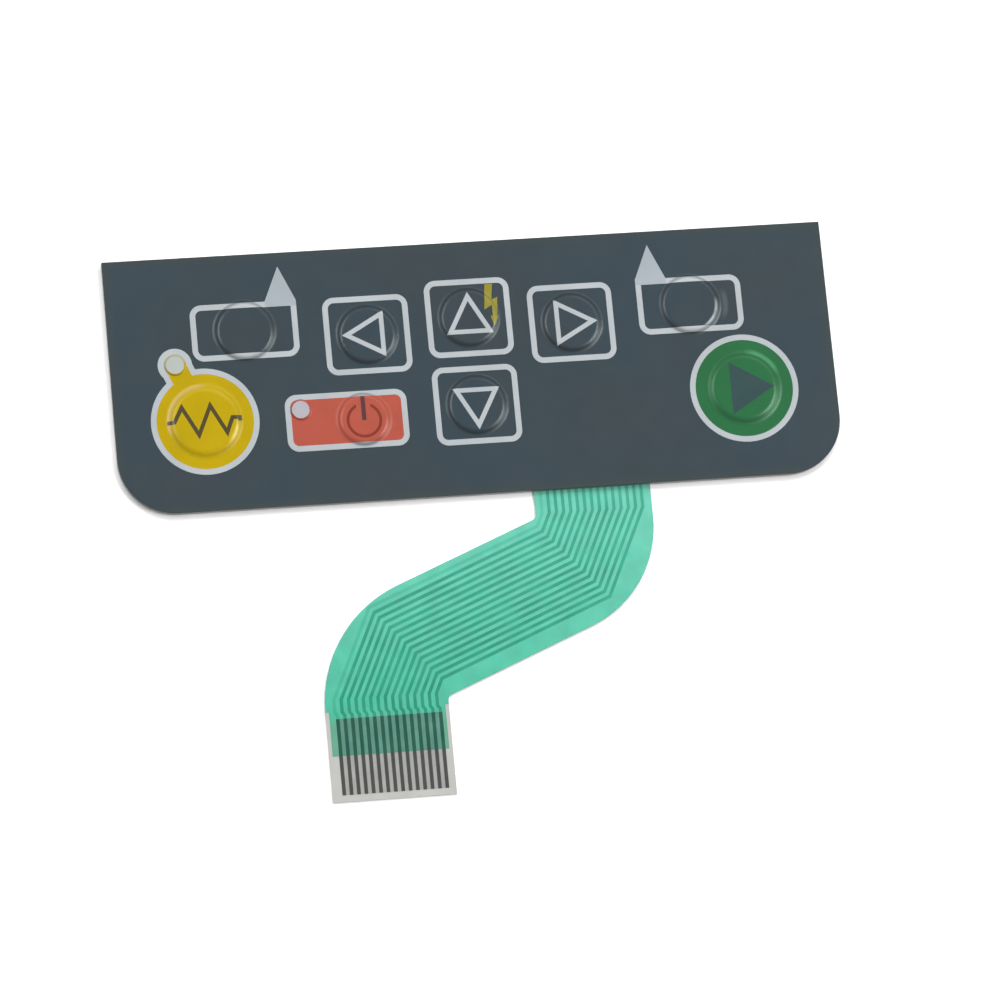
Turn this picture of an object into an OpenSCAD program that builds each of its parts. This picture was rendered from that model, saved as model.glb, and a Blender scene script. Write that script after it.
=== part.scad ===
// Membrane keypad: a printed and embossed cover film over nine snap domes, with a spacer and a
// printed circuit film below, whose flat tail leaves the lower edge and ends in a row of contacts.
// The origin is the centre of the panel's rear face. +X runs along the panel, +Y towards its top
// edge and +Z out of its printed face. Sizes are in millimetres.

/* [Panel] */
// Width of the panel
panel_w = 100; // [98:0.5:130]
// Height of the panel
panel_h = 35.5; // [34:0.1:50]
// Radius of the two lower corners
panel_corner_r = 7.8; // [2:0.1:8.5]

/* [Layers] */
// Thickness of the double-sided adhesive on the rear
rear_adhesive_t = 0.15; // [0.05:0.01:0.5]
// Thickness of the circuit film and its tail
circuit_film_t = 0.13; // [0.07:0.01:0.25]
// Thickness of the printed silver and carbon
ink_t = 0.03; // [0.02:0.01:0.06]
// Thickness of the insulating coat above the silver
coat_cover_t = 0.02; // [0.01:0.01:0.06]
// Thickness of the film that holds the domes down
retainer_t = 0.08; // [0.05:0.01:0.2]
// Thickness of the adhesive under the cover film
cover_adhesive_t = 0.1; // [0.05:0.01:0.25]
// Thickness of the cover film
cover_film_t = 0.25; // [0.15:0.01:0.4]
// Depth of the print in the face of the cover film
print_t = 0.04; // [0.02:0.01:0.08]
// Thickness of the stiffener behind the contacts
stiffener_t = 0.15; // [0.1:0.01:0.3]

/* [Embossing] */
// Height of a raised key above the panel's face
key_rise = 0.35; // [0.2:0.05:0.6]
// Width of the rim around a raised arrow, soft or power key
key_rim_w = 1.1; // [0.6:0.05:1.3]
// Width of the rim around a raised round key
round_rim_w = 1.4; // [0.8:0.05:1.5]
// Height of a raised window above the panel's face
window_rise = 0.2; // [0.1:0.05:0.3]
// Width of the rim around a raised window
window_rim_w = 0.35; // [0.25:0.05:0.4]
// Radius of a window's flat top
window_r = 1.2; // [0.9:0.05:1.3]

/* [Key places] */
// Sideways offset of all keys from the middle of the panel
keys_x = -0.3; // [-1:0.05:1]
// Distance from the panel's top edge to the upper keys
upper_row_drop = 10.75; // [10:0.05:11.5]
// Distance from the upper keys down to the lower keys
row_pitch = 12.3; // [11.5:0.1:13]
// Distance from the middle key to the left and right keys
side_key_dx = 14.2; // [12.5:0.1:15]
// Drop of the left and right keys below the upper row
side_key_drop = 1.55; // [0:0.05:3]
// Distance from the middle key to the two soft keys
soft_key_dx = 30.95; // [29.5:0.05:32]
// Distance from the middle key to the two round keys
round_key_dx = 37.35; // [36.5:0.05:39]
// Distance from the middle key to the power key's field
power_key_dx = 18; // [17:0.1:18.5]
// Drop of the power key below the lower row
power_key_drop = 1.05; // [0:0.05:1.5]
// Distance from the middle of the power field to its dome
power_dome_dx = 2.3; // [0:0.1:3.5]

/* [Key sizes] */
// Width of an arrow key's frame
arrow_frame_w = 11.8; // [10:0.1:13]
// Height of an arrow key's frame
arrow_frame_h = 10.95; // [9.5:0.05:11.6]
// Width of a soft key's frame
soft_frame_w = 14.7; // [12:0.1:16]
// Height of a soft key's frame
soft_frame_h = 7.9; // [6:0.05:9]
// Width of the power key's field
power_frame_w = 16.75; // [15.5:0.05:18]
// Height of the power key's field
power_frame_h = 7.95; // [7:0.05:9]
// Outer radius of the heater key's ring
heater_key_r = 7.4; // [6.5:0.05:7.8]
// Outer radius of the start key's ring
start_key_r = 7.6; // [6.5:0.05:7.8]
// Outer radius of the heater key's lobe around its lamp
heater_lobe_r = 2.35; // [2.35:0.05:2.7]
// Outer width of the neck between the heater key and its lobe
heater_neck_w = 4.4; // [3:0.05:4.6]
// Outer radius of the frames' corners
frame_corner_r = 1.6; // [1:0.1:2.5]
// Width of the frames' lines
frame_line_w = 0.78; // [0.5:0.01:0.9]
// Height of a soft key's pointer above its frame
pointer_h = 4.85; // [2:0.05:6]
// Width of a soft key's pointer where it meets the frame
pointer_w = 4.3; // [2:0.1:6]

/* [Legends] */
// Width of an arrow across its base
arrow_w = 6.55; // [4:0.05:7]
// Height of an arrow from base to point
arrow_h = 5.9; // [4:0.05:6.5]
// Line width of an arrow
arrow_line_w = 0.63; // [0.3:0.01:0.8]
// Shift of an arrow from its key's middle towards its point
arrow_shift = 0.6; // [0:0.05:0.8]
// Width of the solid start arrow across its base
start_w = 7.4; // [5:0.1:7.5]
// Height of the solid start arrow from base to point
start_h = 6.1; // [4:0.05:6.5]
// Distance from the start key's middle back to the arrow's base
start_back = 1.95; // [1:0.05:2.5]
// Line width of the heater wave
wave_line_w = 0.55; // [0.3:0.05:0.8]
// Radius of the power symbol, to the middle of its line
power_ring_r = 2.25; // [1.6:0.05:2.5]
// Line width of the power symbol's ring
power_line_w = 0.4; // [0.25:0.05:0.6]
// Width of the power symbol's bar
power_bar_w = 0.6; // [0.3:0.05:0.8]
// Drop of the power symbol's ring below the middle of its field
power_ring_drop = 0.2; // [0:0.05:0.4]

/* [Snap domes] */
// Foot radius of the domes under the arrow and soft keys
small_dome_r = 4.05; // [3.5:0.05:4.2]
// Foot radius of the dome under the power key
power_dome_r = 3.55; // [3:0.05:3.7]
// Foot radius of the domes under the two round keys
large_dome_r = 4.85; // [4.2:0.05:5]
// Free height of a dome
dome_h = 0.35; // [0.25:0.01:0.5]
// Thickness of the domes' sheet
dome_t = 0.06; // [0.04:0.01:0.1]
// Gap between the top of a dome and the film above it
dome_gap = 0.03; // [0.02:0.01:0.1]
// Gap between a dome's foot and the hole around it
dome_clearance = 0.35; // [0.2:0.05:0.5]
// Width of the channels that let the air pass between domes
vent_w = 0.8; // [0.4:0.1:1.5]

/* [Lamps] */
// Length of a lamp chip
lamp_l = 1.6; // [1:0.1:2]
// Width of a lamp chip
lamp_w = 0.8; // [0.5:0.1:1.2]
// Height of a lamp chip
lamp_h = 0.4; // [0.25:0.05:0.45]
// Gap between a lamp's corner and the hole around it
lamp_clearance = 0.5; // [0.2:0.05:0.6]
// Place of the heater key's lamp, from the middle of its key
heater_lamp_dx = -3.5; // [-4:0.05:-3]
// Height of the heater key's lamp above the middle of its key
heater_lamp_dy = 8.05; // [7.3:0.05:8.3]
// Distance of the power key's window from its field's inner edges
power_lamp_inset = 0.15; // [0:0.05:0.6]

/* [Circuit] */
// Width of the silver lines inside the panel
line_w = 0.3; // [0.2:0.05:0.35]
// Distance between neighbouring silver lines inside the panel
line_pitch = 0.6; // [0.55:0.01:0.65]
// Distance from the panel's edge to the first silver line
line_margin = 1.2; // [0.8:0.1:1.5]
// Width of the ring that a dome stands on
ring_w = 0.8; // [0.5:0.1:1.2]
// Radius of the pad under the middle of a dome
pad_r = 1.1; // [0.6:0.1:1.6]

/* [Tail] */
// Distance between neighbouring contacts
contact_pitch = 1; // [0.95:0.01:1.05]
// Width of a contact
contact_w = 0.5; // [0.3:0.05:0.6]
// Length of the contacts
contact_l = 10.4; // [6:0.1:14]
// Length of the contacts that the green coat covers
contact_covered_l = 5.05; // [1:0.05:5.5]
// Bare film beyond the contacts
end_margin = 0.9; // [0.3:0.05:2]
// Width of the silver lines along the tail
tail_line_w = 0.45; // [0.3:0.05:0.5]
// Distance between neighbouring silver lines along the slanted run
run_pitch = 0.93; // [0.85:0.01:0.95]
// Slope of the slanted run below the panel's lower edge, in degrees
run_angle = 21.9; // [18:0.1:24]
// Lean of the short lines that join the run, in degrees
lean_angle = 25.5; // [22:0.1:30]
// Middle of the tail where it leaves the panel
tail_root_x = 14.35; // [13:0.05:18]
// Middle of the contacts
tail_end_x = -16.12; // [-20:0.01:-12]
// Length of the tail's straight start
tail_start_l = 3.1; // [2.5:0.1:6]
// Length of the leaning part of the first line
first_lean_l = 1.97; // [1:0.01:3]
// Distance from the panel's lower edge to the contacts
contact_drop = 29.5; // [28:0.1:34]
// Length of the straight lines above the contacts
end_straight_l = 2.6; // [2:0.1:4]
// Sideways step from the lines to the contacts
contact_step = 0.31; // [0:0.01:0.4]
// Film beside the first line where the tail starts
start_left_margin = 0.9; // [0.6:0.05:2]
// Film beside the last line where the tail starts
start_right_margin = 1.3; // [0.6:0.05:2]
// Film above the first line of the slanted run
run_upper_margin = 1.05; // [0.6:0.05:2]
// Film below the last line of the slanted run
run_lower_margin = 2.55; // [1:0.05:3]
// Film to the left of the first contact
end_left_margin = 1.6; // [1:0.01:2.5]
// Film to the right of the last contact
end_right_margin = 1.25; // [1:0.01:2.5]
// Radius of the tail's large bend below the panel
upper_bend_r = 15.7; // [8:0.1:17]
// Radius of the tail's large bend above the contacts
lower_bend_r = 18; // [8:0.1:19]
// Radius of the tail's two inner corners
inner_bend_r = 0.8; // [0.3:0.1:2]
// Length of the stiffener behind the contacts
stiffener_l = 12.3; // [11.3:0.1:14]
// Bare film beside the green coat over the contacts
coat_inset = 0.5; // [0.2:0.05:0.9]

/* [Hidden] */
$fn = 96;

// Levels of the layers, from the rear face upwards
film_z = rear_adhesive_t;
ink_z = film_z + circuit_film_t;
dome_z = ink_z + ink_t;
coat_t = ink_t + coat_cover_t;
spacer_z = ink_z + coat_t;
retainer_z = dome_z + dome_h + dome_gap;
spacer_t = retainer_z - spacer_z;
cover_adhesive_z = retainer_z + retainer_t;
cover_z = cover_adhesive_z + cover_adhesive_t;
face_z = cover_z + cover_film_t;

// Edges of the panel and places of the keys
top_y = panel_h / 2;
bottom_y = -panel_h / 2;
upper_y = top_y - upper_row_drop;
lower_y = upper_y - row_pitch;
side_y = upper_y - side_key_drop;
soft_left_at = [keys_x - soft_key_dx, upper_y];
soft_right_at = [keys_x + soft_key_dx, upper_y];
left_at = [keys_x - side_key_dx, side_y];
right_at = [keys_x + side_key_dx, side_y];
up_at = [keys_x, upper_y];
down_at = [keys_x, lower_y];
heater_at = [keys_x - round_key_dx, lower_y];
start_at = [keys_x + round_key_dx, lower_y];
power_field_at = [keys_x - power_key_dx, lower_y - power_key_drop];
power_at = power_field_at + [power_dome_dx, 0];
heater_lamp_at = heater_at + [heater_lamp_dx, heater_lamp_dy];
power_lamp_inner = frame_line_w + window_r + power_lamp_inset;
power_lamp_at = power_field_at
    + [power_lamp_inner - power_frame_w / 2, power_frame_h / 2 - power_lamp_inner];
lamp_places = [heater_lamp_at, power_lamp_at];
lamp_hole_r = norm([lamp_l, lamp_w]) / 2 + lamp_clearance;

// Each dome: its place, its foot radius, the side where the line to its middle comes in, and the
// width of its key's rim, which rises over the dome's foot
DOMES = [
    [soft_left_at, small_dome_r, [0, -1], key_rim_w],
    [soft_right_at, small_dome_r, [-1, 0], key_rim_w],
    [left_at, small_dome_r, [1, 0], key_rim_w],
    [right_at, small_dome_r, [0, -1], key_rim_w],
    [up_at, small_dome_r, [-1, 0], key_rim_w],
    [down_at, small_dome_r, [0, -1], key_rim_w],
    [power_at, power_dome_r, [0, -1], key_rim_w],
    [heater_at, large_dome_r, [0, -1], round_rim_w],
    [start_at, large_dome_r, [0, -1], round_rim_w],
];

// Directions along the tail: the slanted run, the line square to it, and the leaning lines
run_dir = [cos(run_angle), sin(run_angle)];
run_up = [-sin(run_angle), cos(run_angle)];
lean_dir = [sin(lean_angle), cos(lean_angle)];

function unit(v) = v / norm(v);
function left_of(v) = [-v[1], v[0]];

// A point of a line's edge at the line's point i, at a distance d to its left
function edge_point(path, i, d) =
    let (last = len(path) - 1,
         before = unit(i == 0 ? path[1] - path[0] : path[i] - path[i - 1]),
         after = unit(i == last ? path[last] - path[last - 1] : path[i + 1] - path[i]),
         mitre = unit(left_of(before) + left_of(after)))
    path[i] + mitre * d / (mitre * left_of(after));

// The outline of a line of width w along a path, with mitred bends
function line_outline(path, w) =
    concat([for (i = [0 : len(path) - 1]) edge_point(path, i, -w / 2)],
        [for (i = [len(path) - 1 : -1 : 0]) edge_point(path, i, w / 2)]);

// Where the line through p along u meets the line through q along v
function meeting(p, u, q, v) = p + u * ((q - p) * left_of(v)) / (u * left_of(v));

// A rounded corner at p between the edges along u and v: its two ends with its centre between them
function corner_arc(p, u, v, r) =
    let (half = acos(u * v) / 2)
    [p + u * r / tan(half), p + unit(u + v) * r / sin(half), p + v * r / tan(half)];

module line(path, w) polygon(line_outline(path, w));

// The outer part of a disc between the rays from its centre to two points of its rim
module sector(arc, r) {
    from = 0.4;
    reach = 4;
    intersection() {
        translate(arc[1]) circle(r);
        polygon([for (ray = [[from, 0], [reach, 0], [reach, 2], [from, 2]])
            arc[1] + ray[0] * (arc[ray[1]] - arc[1])]);
    }
}

module rounded_rectangle(w, h, r) {
    square([w - 2 * r, h], center = true);
    square([w, h - 2 * r], center = true);
    for (x = [-1, 1], y = [-1, 1]) translate([x * (w / 2 - r), y * (h / 2 - r)]) circle(r);
}

// The outline that all layers of the panel share: square top corners and round lower ones
module panel_outline() {
    inner_w = panel_w - 2 * panel_corner_r;
    translate([-panel_w / 2, bottom_y + panel_corner_r]) square([panel_w, panel_h - panel_corner_r]);
    translate([-inner_w / 2, bottom_y]) square([inner_w, panel_h]);
    for (x = [-1, 1]) translate([x * inner_w / 2, bottom_y + panel_corner_r]) circle(panel_corner_r);
}

module layer(z, t) translate([0, 0, z]) linear_extrude(t) children();

// Lines of the circuit, numbered from the left where the tail leaves the panel
lamp_pad_dx = lamp_l / 2;
side_entry_gap = 1.4;
side_entry_dx = small_dome_r + side_entry_gap;
outer_riser_x = heater_at[0] - large_dome_r - 3 * line_pitch;
LEFT_ENDS = [
    [[outer_riser_x - line_pitch, heater_lamp_at[1] + lamp_w + line_pitch],
        heater_lamp_at + [lamp_pad_dx, lamp_w + line_pitch], heater_lamp_at + [lamp_pad_dx, 0]],
    [[outer_riser_x, heater_lamp_at[1]], heater_lamp_at - [lamp_pad_dx, 0]],
    [heater_at],
    [soft_left_at],
    [power_lamp_at - [lamp_pad_dx, 0]],
    [power_lamp_at + [lamp_pad_dx, 0]],
    [power_at],
    [left_at + [side_entry_dx, 0], left_at],
    [up_at - [side_entry_dx, 0], up_at],
    [down_at],
];
RIGHT_ENDS = [
    [right_at],
    [soft_right_at - [side_entry_dx, 0], soft_right_at],
    [start_at],
];
// Two more lines run round the edge: one joins all the rings, and the outermost is the shield
line_count = len(LEFT_ENDS) + len(RIGHT_ENDS) + 2;
common_line = line_count - 2;
shield_line = line_count - 1;
half_span = (line_count - 1) * contact_pitch / 2;

function root_x(i) = tail_root_x - half_span + i * contact_pitch;
function lane_y(k) = bottom_y + line_margin + k * line_pitch;

// From the tail to a lane, along it, and up to the line's end
function panel_path(i, lane, end) =
    concat([[root_x(i), bottom_y], [root_x(i), lane], [end[0][0], lane]], end);

// Round the right side and along the top, inside the panel's corners
function edge_path(i, margin, left_end) =
    let (x = panel_w / 2 - margin, corner_x = panel_w / 2 - panel_corner_r)
    concat([[root_x(i), bottom_y], [root_x(i), bottom_y + margin], [corner_x, bottom_y + margin],
        [x, bottom_y + panel_corner_r], [x, top_y - margin]], left_end);

common_margin = line_margin + line_pitch;
common_y = top_y - common_margin;
shield_x = -panel_w / 2 + line_margin;
COMMON_LINKS = [
    [[soft_right_at[0], common_y], soft_right_at],
    [[right_at[0], common_y], right_at],
    [[up_at[0], common_y], up_at],
    [[left_at[0], common_y], left_at],
    [[soft_left_at[0], common_y], soft_left_at],
    [[panel_w / 2 - common_margin, start_at[1]], start_at],
    [up_at, down_at],
    [left_at, power_at],
];

module dome_rings() {
    gap_w = line_w + 2 * line_pitch;
    difference() {
        union() {
            line(edge_path(common_line, common_margin, [[heater_at[0], common_y], heater_at]), line_w);
            for (link = COMMON_LINKS) line(link, line_w);
            for (d = DOMES) translate(d[0]) circle(ring_r(d));
        }
        for (d = DOMES) {
            translate(d[0]) circle(ring_r(d) - ring_w);
            line([d[0], d[0] + d[2] * (ring_r(d) + line_w)], gap_w);
        }
    }
}

function ring_r(dome) = dome[1] + dome_clearance / 2;
function pocket_r(dome) = dome[1] + dome_clearance;

module panel_lines() {
    right_lane = right_at[1] - small_dome_r - dome_clearance - 2 * line_pitch;
    for (i = [0 : len(LEFT_ENDS) - 1]) line(panel_path(i, lane_y(i), LEFT_ENDS[i]), line_w);
    for (k = [0 : len(RIGHT_ENDS) - 1]) {
        i = len(LEFT_ENDS) + k;
        line(panel_path(i, k == 0 ? right_lane : lane_y(len(RIGHT_ENDS) + 1 - k), RIGHT_ENDS[k]),
            line_w);
    }
    line(edge_path(shield_line, line_margin,
        [[shield_x, top_y - line_margin], [shield_x, bottom_y + panel_corner_r]]), line_w);
    for (d = DOMES) translate(d[0]) circle(pad_r);
    for (p = lamp_places, x = [-1, 1])
        translate(p + [x * lamp_pad_dx, 0]) square([line_w * 2, lamp_w], center = true);
}

// The tail: line i bends from straight down into a lean, then into the slanted run, and back
start_bend_y = bottom_y - tail_start_l;
contact_y = bottom_y - contact_drop;
end_bend_y = contact_y + end_straight_l;
lean_growth = (run_pitch - contact_pitch * sin(run_angle)) / cos(run_angle + lean_angle);
function contact_x(i) = tail_end_x - half_span + i * contact_pitch;
function run_start(i) = [root_x(i), start_bend_y] - lean_dir * (first_lean_l + i * lean_growth);
function end_bend(i) = [contact_x(i) - contact_step, end_bend_y];
function run_end(i) = meeting(end_bend(i), lean_dir, run_start(i), run_dir);
function tail_path(i) = [[root_x(i), bottom_y + line_margin / 2], [root_x(i), start_bend_y],
    run_start(i), run_end(i),
    end_bend(i), [end_bend(i)[0], contact_y + 2 * tail_line_w],
    [contact_x(i), contact_y + tail_line_w], [contact_x(i), contact_y]];

film_end_y = contact_y - contact_l - end_margin;
last_line = line_count - 1;
film_left_x = contact_x(0) - end_left_margin;
film_right_x = contact_x(last_line) + end_right_margin;

module tail_outline() {
    down = [0, -1];
    start_left = [root_x(0) - start_left_margin, bottom_y];
    start_right = [root_x(last_line) + start_right_margin, bottom_y];
    upper_edge = run_start(0) + run_up * run_upper_margin;
    lower_edge = run_start(last_line) - run_up * run_lower_margin;
    inner_start = corner_arc(meeting(start_left, down, upper_edge, run_dir), -down, -run_dir,
        inner_bend_r);
    outer_start = corner_arc(meeting(start_right, down, lower_edge, run_dir), -down, -run_dir,
        upper_bend_r);
    inner_end = corner_arc(meeting([film_right_x, 0], down, lower_edge, run_dir), run_dir, down,
        inner_bend_r);
    outer_end = corner_arc(meeting([film_left_x, 0], down, upper_edge, run_dir), run_dir, down,
        lower_bend_r);
    lap = [0, 1];
    difference() {
        union() {
            polygon([start_left + lap, inner_start[0], inner_start[2], outer_end[0], outer_end[2],
                [film_left_x, film_end_y], [film_right_x, film_end_y], inner_end[2], inner_end[0],
                outer_start[2], outer_start[0], start_right + lap]);
            sector(outer_start, upper_bend_r);
            sector(outer_end, lower_bend_r);
        }
        sector(inner_start, inner_bend_r);
        sector(inner_end, inner_bend_r);
    }
}

module tail_lines() for (i = [0 : last_line]) line(tail_path(i), tail_line_w);

module contacts()
    for (i = [0 : last_line])
        translate([contact_x(i) - contact_w / 2, contact_y - contact_l]) square([contact_w, contact_l]);

module silver_pattern() {
    dome_rings();
    panel_lines();
    tail_lines();
}

// Printed on the circuit film
module silver_circuit() color("silver") layer(ink_z, ink_t) silver_pattern();

module carbon_contacts() color([0.25, 0.25, 0.25]) layer(ink_z, ink_t) contacts();

module circuit_film() color([0.85, 0.88, 0.87]) layer(film_z, circuit_film_t) {
    panel_outline();
    tail_outline();
}

// The green coat leaves the domes, the lamps and the ends of the contacts bare
module coat_outline() {
    coat_end_y = contact_y - contact_covered_l;
    bare_y = film_end_y + stiffener_l;
    difference() {
        union() {
            panel_outline();
            tail_outline();
        }
        translate([film_left_x - 1, film_end_y - 1])
            square([1 + coat_inset, bare_y - film_end_y + 1]);
        translate([film_right_x - coat_inset, film_end_y - 1])
            square([1 + coat_inset, bare_y - film_end_y + 1]);
        translate([film_left_x, film_end_y - 1])
            square([film_right_x - film_left_x, coat_end_y - film_end_y + 1]);
        for (d = DOMES) translate(d[0]) circle(pocket_r(d));
        for (p = lamp_places) translate(p) circle(lamp_hole_r);
    }
}

module insulating_coat() color([0.37, 0.78, 0.65]) difference() {
    layer(ink_z, coat_t) coat_outline();
    layer(ink_z, ink_t) silver_pattern();
    layer(ink_z, ink_t) contacts();
}

module tail_stiffener() color([0.93, 0.93, 0.9])
    translate([film_left_x, film_end_y, film_z - stiffener_t])
        cube([film_right_x - film_left_x, stiffener_l, stiffener_t]);

module rear_adhesive() color([0.8, 0.78, 0.7]) layer(0, rear_adhesive_t) panel_outline();

// The spacer has a round pocket for each dome and lamp, and channels that let the air move
VENTS = [[heater_at, soft_left_at], [soft_left_at, left_at], [left_at, up_at], [up_at, right_at],
    [right_at, soft_right_at], [soft_right_at, start_at], [left_at, power_at], [up_at, down_at]];

module spacer() color([0.9, 0.92, 0.92]) layer(spacer_z, spacer_t) difference() {
    panel_outline();
    for (d = DOMES) translate(d[0]) circle(pocket_r(d));
    for (p = lamp_places) translate(p) circle(lamp_hole_r);
    for (vent = VENTS) line(vent, vent_w);
}

module dome_retainer() color([0.93, 0.94, 0.95]) layer(retainer_z, retainer_t) difference() {
    panel_outline();
    for (p = lamp_places) translate(p) circle(lamp_hole_r);
}

module cover_adhesive() color([0.88, 0.88, 0.82]) layer(cover_adhesive_z, cover_adhesive_t)
    difference() {
        panel_outline();
        for (d = DOMES) translate(d[0]) circle(plateau_foot_r(d));
        for (p = lamp_places) translate(p) circle(lamp_hole_r + window_rim_w);
    }

// A four-legged snap dome: a spherical shell, cut back between its feet
module snap_dome(at, foot_r) {
    ball_r = (foot_r * foot_r + dome_h * dome_h) / (2 * dome_h);
    ball_fn = 720;
    bite_r = foot_r * 0.75;
    color("gainsboro") translate([at[0], at[1], dome_z]) intersection() {
        rotate_extrude() intersection() {
            translate([0, dome_h - ball_r]) difference() {
                circle(ball_r, $fn = ball_fn);
                circle(ball_r - dome_t, $fn = ball_fn);
            }
            square([foot_r, dome_h + 1]);
        }
        linear_extrude(dome_h + 1) difference() {
            circle(foot_r + 1);
            for (a = [0 : 90 : 270]) rotate(a) translate([foot_r * 1.5, 0]) circle(bite_r);
        }
    }
}

module dome_soft_left() snap_dome(soft_left_at, small_dome_r);
module dome_soft_right() snap_dome(soft_right_at, small_dome_r);
module dome_left() snap_dome(left_at, small_dome_r);
module dome_right() snap_dome(right_at, small_dome_r);
module dome_up() snap_dome(up_at, small_dome_r);
module dome_down() snap_dome(down_at, small_dome_r);
module dome_power() snap_dome(power_at, power_dome_r);
module dome_heater() snap_dome(heater_at, large_dome_r);
module dome_start() snap_dome(start_at, large_dome_r);

// A lamp chip: a flat base with a lens block between its two solder ends
module lamp(at) {
    base_h = lamp_h * 0.4;
    lens_l = lamp_l * 0.65;
    translate([at[0], at[1], dome_z]) {
        translate([-lamp_l / 2, -lamp_w / 2, 0]) cube([lamp_l, lamp_w, base_h]);
        translate([-lens_l / 2, -lamp_w / 2, 0]) cube([lens_l, lamp_w, lamp_h]);
    }
}

module lamp_heater() color([0.95, 0.9, 0.6]) lamp(heater_lamp_at);
module lamp_power() color([0.95, 0.75, 0.7]) lamp(power_lamp_at);

// A raised plateau: its rim is an S of two equal arcs, which leaves the film without a crease
module plateau(top_r, rim_w, rise, depth) {
    bend_r = (rim_w * rim_w + rise * rise) / (4 * rise);
    mid_r = top_r + rim_w / 2;
    rotate_extrude() {
        translate([0, -depth]) square([top_r, depth + rise]);
        translate([0, -depth]) square([mid_r, depth + rise / 2]);
        intersection() {
            translate([top_r, rise - bend_r]) circle(bend_r);
            translate([top_r / 2, rise / 2]) square([mid_r - top_r / 2, rise]);
        }
        difference() {
            translate([0, -depth]) square([top_r + rim_w, depth + rise / 2]);
            translate([top_r + rim_w, bend_r]) circle(bend_r);
        }
    }
}

rim_inner_share = 0.6;
function plateau_top_r(dome) = dome[1] - rim_inner_share * dome[3];
function plateau_foot_r(dome) = plateau_top_r(dome) + dome[3];

module all_plateaus(z, depth) {
    for (d = DOMES) translate([d[0][0], d[0][1], z])
        plateau(plateau_top_r(d), d[3], key_rise, depth);
    for (p = lamp_places) translate([p[0], p[1], z])
        plateau(window_r, window_rim_w, window_rise, depth);
}

// The space below the film's face
module under_face(drop) {
    layer(cover_z, cover_film_t - drop) panel_outline();
    all_plateaus(face_z - drop, cover_film_t - drop);
}

// The top of the film, as deep as the print, where a flat shape covers it
module print_skin() difference() {
    intersection() {
        under_face(0);
        layer(cover_z, cover_film_t + key_rise + 1) children();
    }
    under_face(print_t);
}

module frame(w, h) difference() {
    rounded_rectangle(w, h, frame_corner_r);
    rounded_rectangle(w - 2 * frame_line_w, h - 2 * frame_line_w, frame_corner_r - frame_line_w);
}

// Two soft keys, mirrored, each with a square corner under its pointer
module at_soft_keys() {
    translate(soft_left_at) children();
    translate(soft_right_at) mirror([1, 0]) children();
}

module pointer() {
    x = soft_frame_w / 2;
    y = soft_frame_h / 2;
    polygon([[x, y - frame_line_w], [x, y], [x - pointer_w / 2, y + pointer_h], [x - pointer_w, y],
        [x - pointer_w, y - frame_line_w]]);
}

module soft_frame() {
    x = soft_frame_w / 2;
    y = soft_frame_h / 2;
    difference() {
        union() {
            frame(soft_frame_w, soft_frame_h);
            translate([x - frame_line_w, y - frame_corner_r]) square([frame_line_w, frame_corner_r]);
        }
        pointer();
        translate([x - frame_corner_r, y - frame_corner_r]) square(frame_corner_r - frame_line_w);
    }
}

// An arrow with its point along +Y, its middle at the origin
module arrow_outline(w, h, line_w) {
    slant = atan(w / 2 / h);
    inner_h = h - line_w - line_w / sin(slant);
    translate([0, -h / 2]) difference() {
        polygon([[-w / 2, 0], [w / 2, 0], [0, h]]);
        translate([0, line_w])
            polygon([[-inner_h * tan(slant), 0], [inner_h * tan(slant), 0], [0, inner_h]]);
    }
}

module arrow_key(at, turn) translate(at) {
    frame(arrow_frame_w, arrow_frame_h);
    rotate(turn) translate([0, arrow_shift]) arrow_outline(arrow_w, arrow_h, arrow_line_w);
}

// The round keys' areas, drawn in by a margin. The heater key has a neck and a lobe round its lamp
module start_area(margin) translate(start_at) circle(start_key_r - margin);

module heater_area(margin) {
    translate(heater_at) circle(heater_key_r - margin);
    line([heater_at, heater_lamp_at], heater_neck_w - 2 * margin);
    translate(heater_lamp_at) circle(heater_lobe_r - margin);
}

module power_area(margin) translate(power_field_at)
    rounded_rectangle(power_frame_w - 2 * margin, power_frame_h - 2 * margin, frame_corner_r - margin);

module windows() for (p = lamp_places) translate(p) circle(window_r);

module frame_pattern() {
    at_soft_keys() soft_frame();
    arrow_key(left_at, 90);
    arrow_key(up_at, 0);
    arrow_key(right_at, -90);
    arrow_key(down_at, 180);
    difference() {
        heater_area(0);
        heater_area(frame_line_w);
    }
    difference() {
        start_area(0);
        start_area(frame_line_w);
    }
    difference() {
        power_area(0);
        power_area(frame_line_w);
        windows();
    }
}

// The heater's wave, from the middle of its key
WAVE = [[-5.2, 0], [-4.2, 0.05], [-3.1, 2.05], [-1, -1.9], [0.8, 2.1], [2.85, -1.75], [3.7, 0.3],
    [4.75, 0.3], [4.75, -0.2]];

// The bolt with its pointed end, from the middle of the up key
BOLT = [[2.6, 4.6], [3.65, 4.6], [3.35, 2.35], [4.2, 2.7], [4, 0], [4.2, 0], [3.4, -1.45], [3, 0],
    [3.3, 0], [3.35, 1.55], [2.2, 0.9]];

module wave() translate(heater_at) line(WAVE, wave_line_w);

module start_arrow() translate(start_at - [start_back, 0])
    polygon([[0, -start_w / 2], [start_h, 0], [0, start_w / 2]]);

// A ring with a gap at its top, and a bar from the frame down to the ring's middle
module power_symbol() {
    gap_half_angle = 26;
    gap_half_w = power_ring_r * sin(gap_half_angle);
    bar_l = power_frame_h / 2 - frame_line_w + power_ring_drop;
    translate(power_at - [0, power_ring_drop]) {
        difference() {
            circle(power_ring_r + power_line_w / 2);
            circle(power_ring_r - power_line_w / 2);
            translate([-gap_half_w, 0]) square([2 * gap_half_w, 2 * power_ring_r]);
        }
        translate([-power_bar_w / 2, 0]) square([power_bar_w, bar_l]);
    }
}

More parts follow.
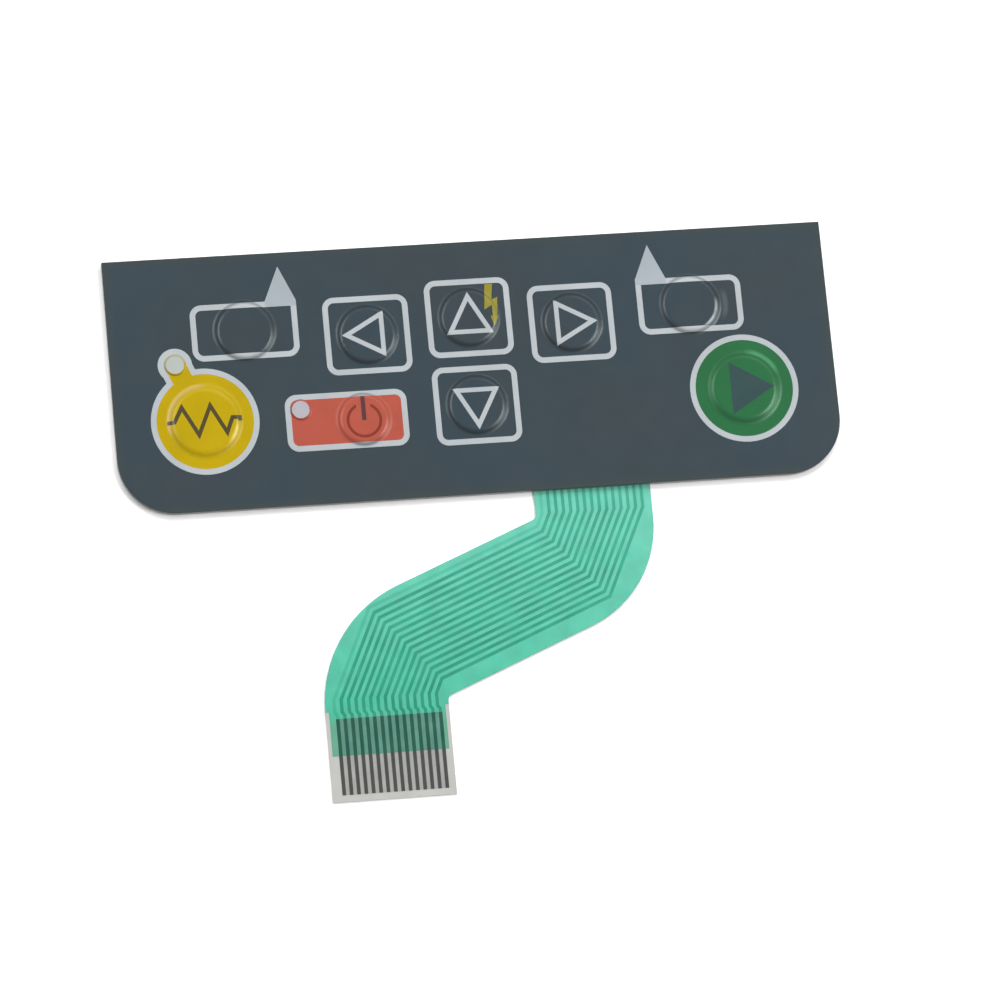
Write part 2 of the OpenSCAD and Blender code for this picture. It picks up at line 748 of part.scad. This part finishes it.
module bolt() translate(up_at) polygon(BOLT);

module cover_film() color([0.27, 0.31, 0.35]) difference() {
    under_face(0);
    all_plateaus(cover_z, 1);
    print_skin() {
        frame_pattern();
        at_soft_keys() pointer();
        heater_area(frame_line_w / 2);
        start_area(frame_line_w / 2);
        power_area(frame_line_w / 2);
        bolt();
    }
}

module print_frames() color([0.8, 0.82, 0.84]) print_skin() frame_pattern();
module print_pointers() color([0.68, 0.71, 0.75]) print_skin() at_soft_keys() pointer();
module print_heater_field() color([0.75, 0.65, 0.1]) print_skin() difference() {
    heater_area(frame_line_w);
    windows();
    wave();
}
module print_power_field() color([0.75, 0.35, 0.29]) print_skin() difference() {
    power_area(frame_line_w);
    windows();
    power_symbol();
}
module print_start_field() color([0.2, 0.47, 0.27]) print_skin() difference() {
    start_area(frame_line_w);
    start_arrow();
}
module print_dark_legends() color([0.28, 0.3, 0.3]) print_skin() {
    wave();
    start_arrow();
}
module print_power_symbol() color([0.45, 0.2, 0.17]) print_skin() power_symbol();
module print_bolt() color([0.7, 0.65, 0.15]) print_skin() bolt();
module lamp_windows() color([0.78, 0.8, 0.8]) print_skin() windows();

cover_film();
print_frames();
print_pointers();
print_heater_field();
print_power_field();
print_start_field();
print_dark_legends();
print_power_symbol();
print_bolt();
lamp_windows();
cover_adhesive();
dome_retainer();
spacer();
dome_soft_left();
dome_soft_right();
dome_left();
dome_right();
dome_up();
dome_down();
dome_power();
dome_heater();
dome_start();
lamp_heater();
lamp_power();
insulating_coat();
silver_circuit();
carbon_contacts();
circuit_film();
tail_stiffener();
rear_adhesive();
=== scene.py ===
"""A membrane keypad, lying on a pale floor: materials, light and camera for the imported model.

Lengths are in metres, so a number of millimetres is multiplied by MM. Colours are written as 8-bit
screen colours. An azimuth goes from +Y towards +X, in degrees.
"""
import math

import bpy
from mathutils import Euler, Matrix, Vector


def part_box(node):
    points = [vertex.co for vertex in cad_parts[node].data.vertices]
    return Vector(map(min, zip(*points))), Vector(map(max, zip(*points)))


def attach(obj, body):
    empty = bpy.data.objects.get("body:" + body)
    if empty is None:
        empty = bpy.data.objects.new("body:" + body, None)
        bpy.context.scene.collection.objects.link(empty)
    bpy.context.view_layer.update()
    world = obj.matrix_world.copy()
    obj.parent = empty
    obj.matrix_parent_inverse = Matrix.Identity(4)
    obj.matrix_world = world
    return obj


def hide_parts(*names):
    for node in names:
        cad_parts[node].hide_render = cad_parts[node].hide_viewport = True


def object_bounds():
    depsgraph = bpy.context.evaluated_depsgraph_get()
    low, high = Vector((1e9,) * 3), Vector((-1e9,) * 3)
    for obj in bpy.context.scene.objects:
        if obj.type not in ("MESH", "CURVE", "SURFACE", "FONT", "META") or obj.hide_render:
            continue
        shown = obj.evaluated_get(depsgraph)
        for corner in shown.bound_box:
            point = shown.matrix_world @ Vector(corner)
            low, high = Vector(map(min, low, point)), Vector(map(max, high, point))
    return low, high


MM = 0.001
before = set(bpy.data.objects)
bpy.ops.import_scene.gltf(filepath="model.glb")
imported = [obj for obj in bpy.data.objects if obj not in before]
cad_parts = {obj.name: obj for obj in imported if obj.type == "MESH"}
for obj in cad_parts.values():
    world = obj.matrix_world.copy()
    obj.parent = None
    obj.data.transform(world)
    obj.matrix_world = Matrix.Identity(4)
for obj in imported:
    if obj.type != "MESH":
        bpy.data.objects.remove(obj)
cad_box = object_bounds()


def linear(*rgb):
    """The linear colour of an 8-bit screen colour."""
    def channel(value):
        value /= 255
        return value / 12.92 if value <= 0.04045 else ((value + 0.055) / 1.055) ** 2.4
    return (*[channel(value) for value in rgb], 1.0)


def middle(name):
    """The middle of a node, as seen from above."""
    low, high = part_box(name)
    return (low.x + high.x) / 2, (low.y + high.y) / 2


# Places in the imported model

FILM_THICKNESS = 0.25 * MM
FACE_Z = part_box("cover_film")[0].z + FILM_THICKNESS
PLATEAU_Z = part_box("cover_film")[1].z
PANEL_HALF_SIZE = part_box("cover_film")[1].xy
TAIL_ROOT_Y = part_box("spacer")[0].y
CONTACTS = [(corner.x, corner.y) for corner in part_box("carbon_contacts")]
CONTACTS_TOP_Y = CONTACTS[1][1]


# Camera

CAMERA_PLACE = (-98.46, -152.42, 655.55)      # millimetres from the panel's middle
CAMERA_TURN = (12.1755, -7.576, -5.4037)      # degrees about X, Y and Z
CAMERA_LENS = 178.2655                        # millimetres, on a sensor 36 wide


def add_camera():
    data = bpy.data.cameras.new("camera")
    data.lens = CAMERA_LENS
    data.sensor_width = 36
    data.clip_start, data.clip_end = 0.05, 10
    camera = bpy.data.objects.new("camera", data)
    camera.location = Vector(CAMERA_PLACE) * MM
    camera.rotation_euler = Euler([math.radians(angle) for angle in CAMERA_TURN])
    bpy.context.scene.collection.objects.link(camera)
    bpy.context.scene.camera = camera


# Materials

class Shader:
    """A node material built up from a few calls, in the object's own metres."""

    def __init__(self, name):
        self.material = bpy.data.materials.new(name)
        self.material.use_nodes = True
        self.tree = self.material.node_tree
        self.surface = self.tree.nodes["Principled BSDF"]
        self.place = self.tree.nodes.new("ShaderNodeTexCoord").outputs["Object"]

    def link(self, source, target):
        self.tree.links.new(source, target)

    def set(self, **values):
        for key, value in values.items():
            self.surface.inputs[key.replace("_", " ")].default_value = value

    def noise(self, size, detail=2.0, seed=0.0, stretch=(1, 1, 1)):
        """Soft noise with features of a size in millimetres."""
        mapping = self.tree.nodes.new("ShaderNodeMapping")
        mapping.inputs["Location"].default_value = (seed, seed, seed)
        mapping.inputs["Scale"].default_value = stretch
        self.link(self.place, mapping.inputs["Vector"])
        node = self.tree.nodes.new("ShaderNodeTexNoise")
        node.inputs["Scale"].default_value = 1 / (size * MM)
        node.inputs["Detail"].default_value = detail
        self.link(mapping.outputs["Vector"], node.inputs["Vector"])
        return node.outputs["Fac"]

    def spread(self, value, low, high, start=0.35, end=0.65):
        """A value spread out between two limits, as it goes from start to end."""
        node = self.tree.nodes.new("ShaderNodeMapRange")
        for key, number in zip(("From Min", "From Max", "To Min", "To Max"), (start, end, low, high)):
            node.inputs[key].default_value = number
        self.link(value, node.inputs["Value"])
        return node.outputs["Result"]

    def axis(self, letter):
        """The place along an axis."""
        node = self.tree.nodes.new("ShaderNodeSeparateXYZ")
        self.link(self.place, node.inputs[0])
        return node.outputs[letter]

    def normal(self, letter):
        """The size of the surface normal along an axis, from 0 to 1."""
        node = self.tree.nodes.new("ShaderNodeSeparateXYZ")
        self.link(self.tree.nodes.new("ShaderNodeNewGeometry").outputs["Normal"], node.inputs[0])
        return self.math("ABSOLUTE", node.outputs[letter])

    def slope(self, start, end):
        """0 where the surface is flat, up to 1 where it leans, between two heights of its normal."""
        return self.spread(self.normal("Z"), 0, 1, start, end)

    def math(self, operation, *values):
        node = self.tree.nodes.new("ShaderNodeMath")
        node.operation = operation
        for socket, value in zip(node.inputs, values):
            if isinstance(value, (int, float)):
                socket.default_value = value
            else:
                self.link(value, socket)
        return node.outputs["Value"]

    def inside(self, low, high):
        """1 between two corners as seen from above, and 0 beside them."""
        bands = [self.math("COMPARE", self.axis(letter), (start + end) / 2, (end - start) / 2)
                 for letter, start, end in zip("XY", low, high)]
        return self.math("MULTIPLY", *bands)

    def ring_part(self, centre, radii, azimuths):
        """1 in part of a ring, fading at its borders. Its radii are in millimetres."""
        x, y = (self.math("SUBTRACT", self.axis(letter), c) for letter, c in zip("XY", centre))
        squares = self.math("ADD", self.math("MULTIPLY", x, x), self.math("MULTIPLY", y, y))
        radius_limits = [radius * MM for radius in radii]
        turn_limits = [math.radians(azimuth) for azimuth in azimuths]
        masks = []
        for value, (low, high), fade in (
                (self.math("SQRT", squares), radius_limits, 0.15 * MM),
                (self.math("ARCTAN2", x, y), turn_limits, math.radians(8))):
            off_middle = self.math("ABSOLUTE", self.math("SUBTRACT", value, (low + high) / 2))
            reach = (high - low) / 2
            masks.append(self.spread(off_middle, 1, 0, reach - fade, reach + fade))
        return self.math("MULTIPLY", *masks)

    def with_painted_glints_and_rings(self, colour, painted_glints_and_rings):
        """A colour with paler parts of rings painted in, each with its centre, radii, azimuths and own
        colour: painted glints, and a pale ring.
        """
        for centre, radii, azimuths, rgb in painted_glints_and_rings:
            colour = self.mix(self.ring_part(centre, radii, azimuths), colour, linear(*rgb))
        return colour

    def mix(self, share, first, second):
        node = self.tree.nodes.new("ShaderNodeMix")
        node.data_type = "RGBA"
        self.link(share, node.inputs["Factor"])
        for socket, colour in ((node.inputs["A"], first), (node.inputs["B"], second)):
            if isinstance(colour, tuple):
                socket.default_value = colour
            else:
                self.link(colour, socket)
        return node.outputs["Result"]

    def tone(self, rgb, contrast=0.05, patch=5.0):
        """A colour in soft patches of two near shades, with their size in millimetres."""
        light = linear(*[min(255, value * (1 + contrast / 2)) for value in rgb])
        dark = linear(*[value * (1 - contrast / 2) for value in rgb])
        return self.mix(self.spread(self.noise(patch, detail=3.0, seed=1.0), 0, 1), light, dark)

    def paint(self, colour):
        self.link(colour, self.surface.inputs["Base Color"])

    def rough(self, low, high, patch):
        self.link(self.spread(self.noise(patch), low, high), self.surface.inputs["Roughness"])

    def bump(self, *layers):
        """Bump from pairs of a height map and its depth in millimetres."""
        normal = None
        for height, depth in layers:
            node = self.tree.nodes.new("ShaderNodeBump")
            node.inputs["Strength"].default_value = 1.0
            node.inputs["Distance"].default_value = depth * MM
            self.link(height, node.inputs["Height"])
            if normal is not None:
                self.link(normal, node.inputs["Normal"])
            normal = node.outputs["Normal"]
        self.link(normal, self.surface.inputs["Normal"])

    def dull_film(self, roughness=(0.28, 0.4), grain=0.3):
        """The surface of an unprinted film or an ink: half glossy, a little wavy and finely grained."""
        self.set(IOR=1.45)
        self.rough(*roughness, patch=2.0)
        waves = self.noise(4.0, detail=1.0, seed=2.0)
        self.bump((waves, 0.004), (self.noise(grain), 0.0015))


# The printed face of the cover film

# Shade is painted at the foot of each embossed rim: where it starts and is full, how much is left, and its
# colour.
RIM_START, RIM_STEEP = 0.998, 0.93      # heights of the surface normal, which is 1 on flat film
SHADE_LEFT_ON_TOP = 0.2                 # share of a rim's shade that is left at its upper end
SHADE_ALONG_X = 0.55                    # share of it where the rim faces along X
PAINTED_SHADE_COLOUR = linear(20, 22, 24)
FOOT_EXTRA_ROUGHNESS = 0.2
FILM_ROUGHNESS = (0.23, 0.26)
NO_TINT = (1, 1, 1)


def film_face(shader, colour, painted_foot_shade, glint=NO_TINT):
    """The cover film over a print colour: glossy, hardly wavy, and duller with painted shade at the foot
    of a rim.

    The painted shade is darkest where the rim faces along Y, and the glints take on some of the print's
    hue.
    """
    lowness = shader.spread(shader.axis("Z"), 1, SHADE_LEFT_ON_TOP, FACE_Z, PLATEAU_Z)
    foot = shader.math("MULTIPLY", shader.slope(RIM_START, RIM_STEEP), lowness)
    along_y = shader.spread(shader.normal("Y"), painted_foot_shade * SHADE_ALONG_X, painted_foot_shade, 0, 0.5)
    # Painted shade: the foot of a rim is mixed towards a dark colour.
    shader.paint(shader.mix(shader.math("MULTIPLY", foot, along_y), colour, PAINTED_SHADE_COLOUR))
    shader.set(IOR=1.4, Specular_Tint=(*glint, 1.0))
    roughness = shader.spread(shader.noise(3.0), *FILM_ROUGHNESS)
    duller = shader.math("MULTIPLY_ADD", foot, FOOT_EXTRA_ROUGHNESS, roughness)
    shader.link(duller, shader.surface.inputs["Roughness"])
    waves = shader.noise(1.8, detail=1.0, seed=3.0)
    shader.bump((waves, 0.008), (shader.noise(0.16, detail=1.0), 0.0003))


def film_print(name, rgb, painted_foot_shade, painted_glints_and_rings=(), glint=NO_TINT):
    """The face of the cover film over one of its print colours, which may have painted glints and pale
    rings.
    """
    shader = Shader(name)
    colour = shader.with_painted_glints_and_rings(shader.tone(rgb, contrast=0.04, patch=6.0), painted_glints_and_rings)
    film_face(shader, colour, painted_foot_shade, glint)
    return shader.material


def slate_print(name, cool_rgb, warm_rgb, edge_rgb, painted_foot_shade, painted_glints_and_rings, glint):
    """The ground colour, in wide patches of a cooler and a warmer shade, paler along the edges."""
    shader = Shader(name)
    edge_width = 1.3 * MM
    near_edge = [shader.spread(shader.math("ABSOLUTE", shader.axis(letter)), 0, 1, half - edge_width, half)
                 for letter, half in zip("XY", PANEL_HALF_SIZE)]
    patches = shader.spread(shader.noise(20.0, seed=5.0), 0, 0.7)
    cool, warm = (shader.tone(rgb, contrast=0.02, patch=12.0) for rgb in (cool_rgb, warm_rgb))
    ground = shader.mix(patches, cool, warm)
    colour = shader.mix(shader.math("MAXIMUM", *near_edge), ground, linear(*edge_rgb))
    # Painted glints go into the colour here, and film_face adds painted shade at the rims' feet.
    film_face(shader, shader.with_painted_glints_and_rings(colour, painted_glints_and_rings), painted_foot_shade, glint)
    return shader.material


def power_print(name, ring_rgb, bar_rgb):
    """The power symbol, whose bar is greyer than its ring."""
    shader = Shader(name)
    low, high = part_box("print_power_symbol")
    bar_x = middle("print_power_symbol")[0]
    half_width, bar_foot = 0.4 * MM, low.y + 2.4 * MM
    bar = shader.inside((bar_x - half_width, bar_foot), (bar_x + half_width, high.y + MM))
    film_face(shader, shader.mix(bar, shader.tone(ring_rgb), shader.tone(bar_rgb)), painted_foot_shade=0.2)
    return shader.material


def pair_print(name, left_rgb, right_rgb, split_x, painted_foot_shade):
    """A print colour with another shade on each side of a line along Y."""
    shader = Shader(name)
    rightwards = shader.spread(shader.axis("X"), 0, 1, split_x - MM, split_x + MM)
    film_face(shader, shader.mix(rightwards, shader.tone(left_rgb), shader.tone(right_rgb)), painted_foot_shade)
    return shader.material


# Glints where the film on the keys' rims catches the light are painted into the print colours as
# paler parts of rings, each with its centre, its radii in millimetres, its azimuths and its colour.
# The last one of the heater key is the pale ring round its lamp window.

SOFT_KEY = middle("dome_soft_right")
HEATER_KEY = middle("dome_heater")
START_KEY = middle("dome_start")
HEATER_LAMP = middle("lamp_heater")
POWER_LAMP = middle("lamp_power")
SLATE_PAINTED_GLINTS = [
    (SOFT_KEY, (3.5, 3.85), (84, 112), (128, 136, 140)),
    (SOFT_KEY, (3.5, 3.85), (118, 148), (140, 148, 152)),
    (SOFT_KEY, (4.65, 5.35), (72, 112), (66, 77, 81)),
]
YELLOW_PAINTED_GLINTS_AND_LAMP_RING = [
    (HEATER_KEY, (4.65, 5.25), (-105, 0), (176, 150, 78)),
    (HEATER_KEY, (4.15, 4.5), (98, 130), (196, 176, 84)),
    (HEATER_LAMP, (0.9, 1.75), (-135, 75), (150, 150, 124)),
]
GREEN_PAINTED_GLINTS = [(START_KEY, (4.85, 5.5), (12, 64), (58, 122, 80))]


# The other materials

def plain(name, rgb, roughness=(0.28, 0.4), painted_side_shade_rgb=None):
    """An unprinted film, an ink or an adhesive. Its cut sides may be painted darker, as painted shade."""
    shader = Shader(name)
    colour = shader.tone(rgb, patch=3.0)
    if painted_side_shade_rgb:
        # Painted shade on the cut sides, which lean away from flat.
        colour = shader.mix(shader.slope(0.6, 0.4), colour, linear(*painted_side_shade_rgb))
    shader.paint(colour)
    shader.dull_film(roughness)
    return shader.material


def end_film(name, rgb, between_rgb):
    """The circuit film, duller between the bare contacts."""
    shader = Shader(name)
    film = shader.tone(rgb, contrast=0.03, patch=3.0)
    shader.paint(shader.mix(shader.inside(*CONTACTS), film, shader.tone(between_rgb, patch=2.0)))
    shader.dull_film()
    return shader.material


def metal(name, rgb, roughness):
    shader = Shader(name)
    shader.paint(shader.tone(rgb, contrast=0.1, patch=1.0))
    shader.set(Metallic=1.0)
    shader.rough(*roughness, patch=0.4)
    shader.bump((shader.noise(0.12, detail=1.0, stretch=(1, 6, 1)), 0.0008))
    return shader.material


def coat(name, root_rgb, bend_rgb, beside_rgb, contact_rgb, contrast=0.06, patch=2.5):
    """The green coat: deeper down the tail, duller beside the contacts and dark over them."""
    shader = Shader(name)
    down = shader.spread(shader.axis("Y"), 1, 0, CONTACTS_TOP_Y, TAIL_ROOT_Y)
    end = shader.spread(shader.axis("Y"), 1, 0, CONTACTS_TOP_Y - MM, CONTACTS_TOP_Y + 0.6 * MM)
    tail = shader.mix(down, *[shader.tone(rgb, contrast, patch) for rgb in (root_rgb, bend_rgb)])
    tail = shader.mix(end, tail, linear(*beside_rgb))
    over_contacts = shader.tone(contact_rgb, contrast=0.1, patch=2.0)
    shader.paint(shader.mix(shader.inside(*CONTACTS), tail, over_contacts))
    shader.dull_film((0.3, 0.4), grain=0.25)
    return shader.material


MATERIALS = {
    "cover_film": slate_print("cover_film_slate", (45, 57, 65), (48, 56, 60), (51, 59, 60),
                              painted_foot_shade=0.7, painted_glints_and_rings=SLATE_PAINTED_GLINTS, glint=(0.9, 1, 0.98)),
    "print_frames": film_print("ink_white", (158, 164, 167), painted_foot_shade=0.7),
    "print_pointers": film_print("ink_grey", (144, 152, 157), painted_foot_shade=0.5),
    "print_heater_field": film_print("ink_yellow", (163, 139, 0), painted_foot_shade=0.15,
                                     painted_glints_and_rings=YELLOW_PAINTED_GLINTS_AND_LAMP_RING, glint=(1, 0.9, 0.5)),
    "print_power_field": film_print("ink_red", (156, 74, 60), painted_foot_shade=0.2, glint=(1, 0.66, 0.6)),
    "print_start_field": film_print("ink_green", (33, 90, 52), painted_foot_shade=0.35,
                                    painted_glints_and_rings=GREEN_PAINTED_GLINTS, glint=(0.65, 1, 0.78)),
    "print_dark_legends": pair_print("ink_dark", (65, 57, 29), (40, 64, 65), split_x=0, painted_foot_shade=0.1),
    "print_power_symbol": power_print("ink_dark_red", (112, 43, 29), (74, 44, 44)),
    "print_bolt": film_print("ink_olive", (125, 118, 36), painted_foot_shade=0.3),
    "lamp_windows": pair_print("window_white", (157, 163, 159), (156, 155, 160),
                               split_x=(HEATER_LAMP[0] + POWER_LAMP[0]) / 2, painted_foot_shade=0.2),
    "cover_adhesive": plain("adhesive_clear", (204, 198, 196), painted_side_shade_rgb=(92, 88, 86)),
    "dome_retainer": plain("film_clear", (212, 207, 205), painted_side_shade_rgb=(100, 96, 94)),
    "spacer": plain("film_spacer", (210, 204, 203), painted_side_shade_rgb=(104, 100, 98)),
    "silver_circuit": plain("ink_silver", (172, 174, 176), roughness=(0.4, 0.5)),
    "carbon_contacts": plain("ink_carbon", (46, 48, 45), roughness=(0.4, 0.5)),
    "circuit_film": end_film("film_circuit", (165, 166, 162), (142, 143, 140)),
    "tail_stiffener": plain("film_stiffener", (196, 196, 192)),
    "rear_adhesive": plain("adhesive_foam", (206, 198, 192), roughness=(0.5, 0.7), painted_side_shade_rgb=(96, 92, 88)),
    "lamp": plain("lamp_resin", (216, 206, 166)),
    "dome": metal("dome_steel", (190, 190, 187), roughness=(0.2, 0.35)),
}
COATS = [
    coat("coat_over_film", (90, 175, 153), (59, 161, 134), (81, 143, 119), (69, 120, 104)),
    coat("coat_over_ink", (44, 143, 118), (11, 126, 97), (30, 118, 92), (0, 66, 51),
         contrast=0.12, patch=4.0),
    coat("coat_over_first", (74, 164, 141), (44, 150, 121), (60, 133, 108), (0, 66, 51)),
]
OVER_FILM, OVER_INK, OVER_FIRST_LINE = range(len(COATS))


def dress(nodes):
    """Gives each node its material, by its full name or by the first word of its name."""
    for name, obj in nodes.items():
        if name == "insulating_coat":
            continue
        chosen = MATERIALS.get(name) or MATERIALS[name.split("_")[0]]
        for slot in obj.material_slots:
            slot.material = chosen


# The coat over the lines

def first_line(faces):
    """The faces of one line, the one that lies farthest to the left at its contact.

    Each face is given by its corners as seen from above, and faces that share a corner are joined.
    """
    lines = []
    for face in faces:
        joined = [line for line in lines if not line[0].isdisjoint(face)]
        lines = [line for line in lines if line[0].isdisjoint(face)]
        corners = set(face).union(*[line[0] for line in joined])
        members = sum([line[1] for line in joined], [face])
        lines.append((corners, members))

    def left_end(line):
        return min([x for x, y in line[0] if y < CONTACTS_TOP_Y], default=math.inf)

    return min(lines, key=left_end)[1]


def add_coat():
    """The green coat as a solid slab, whose face is split where ink lies below it.

    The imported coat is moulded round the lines. Its underside lies on the film between them and
    on the ink's top over them, so lifting the underside to the face gives the same pattern there.
    It hides the first line more than the others.
    """
    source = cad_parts["insulating_coat"].data
    low, high = (corner.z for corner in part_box("insulating_coat"))
    ink_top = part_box("silver_circuit")[1].z
    over_film_z, over_ink_z = (low + ink_top) / 2, (ink_top + high) / 2
    verts, index, faces, kinds = [], {}, [], []

    def vertex(x, y, z):
        key = (round(x, 8), round(y, 8), z)
        if key not in index:
            index[key] = len(verts)
            verts.append(key)
        return index[key]

    for polygon in source.polygons:
        corners = [source.vertices[i].co for i in polygon.vertices]
        facing_down = polygon.normal.z < -0.5
        upright = abs(polygon.normal.z) < 0.5
        if facing_down:
            kind = OVER_INK if corners[0].z > over_film_z else OVER_FILM
            faces.append([vertex(c.x, c.y, high) for c in reversed(corners)])
            faces.append([vertex(c.x, c.y, low) for c in corners])
            kinds += [kind, kind]
        elif upright and max(c.z for c in corners) > over_ink_z:
            faces.append([vertex(c.x, c.y, high if c.z > over_ink_z else low) for c in corners])
            kinds.append(OVER_FILM)
    over_ink = {tuple(verts[i][:2] for i in face): number
                for number, face in enumerate(faces) if kinds[number] == OVER_INK}
    for face in first_line(over_ink):
        kinds[over_ink[face]] = OVER_FIRST_LINE
    mesh = bpy.data.meshes.new("coat_face")
    mesh.from_pydata(verts, [], faces)
    for material in COATS:
        mesh.materials.append(material)
    mesh.polygons.foreach_set("material_index", kinds)
    mesh.validate()
    mesh.update()
    piece = bpy.data.objects.new("coat_face", mesh)
    bpy.context.scene.collection.objects.link(piece)
    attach(piece, "root")
    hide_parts("insulating_coat")


# Floor and light

FLOOR_SIZE = 4.0
LIGHT_DISTANCE = 1.2
WORLD_LIGHT = 0.45


def add_floor():
    bpy.ops.mesh.primitive_plane_add(size=FLOOR_SIZE, location=(0, 0, cad_box[0][2]))
    floor = bpy.context.object
    floor.name = "floor"
    shader = Shader("floor_white")
    shader.paint(shader.tone((249, 248, 248), contrast=0.01, patch=60.0))
    shader.set(Roughness=0.9)
    floor.data.materials.append(shader.material)


def add_softbox(name, azimuth, elevation, size, radiance, glossy=True, diffuse=True):
    """An area light that faces the panel's middle, and may be left out of glossy or diffuse light."""
    data = bpy.data.lights.new(name, "AREA")
    data.shape = "RECTANGLE"
    data.size, data.size_y = size
    data.energy = radiance * math.pi * size[0] * size[1]
    light = bpy.data.objects.new(name, data)
    turn, rise = math.radians(azimuth), math.radians(elevation)
    direction = Vector((math.sin(turn) * math.cos(rise), math.cos(turn) * math.cos(rise), math.sin(rise)))
    light.location = direction * LIGHT_DISTANCE
    light.rotation_euler = direction.to_track_quat("Z", "Y").to_euler()
    light.visible_glossy = glossy
    light.visible_diffuse = diffuse
    bpy.context.scene.collection.objects.link(light)


def add_light():
    world = bpy.data.worlds.new("studio")
    world.use_nodes = True
    background = world.node_tree.nodes["Background"]
    background.inputs["Color"].default_value = linear(252, 250, 252)
    background.inputs["Strength"].default_value = WORLD_LIGHT
    bpy.context.scene.world = world
    add_softbox("key_light", 5, 48, (1.0, 0.7), 5.6, glossy=False)
    add_softbox("right_light", 92, 58, (0.45, 0.2), 20)
    add_softbox("right_reflector", 102, 33, (0.6, 0.75), 6.5, diffuse=False)
    add_softbox("left_light", -55, 62, (0.7, 0.35), 3.6)
    add_softbox("left_reflector", -60, 60, (0.6, 0.35), 4.0, diffuse=False)
    add_softbox("far_light", 38, 46, (0.5, 0.3), 2.2)
    bpy.context.scene.view_settings.view_transform = "Standard"


add_camera()
dress(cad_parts)
add_coat()
add_floor()
add_light()
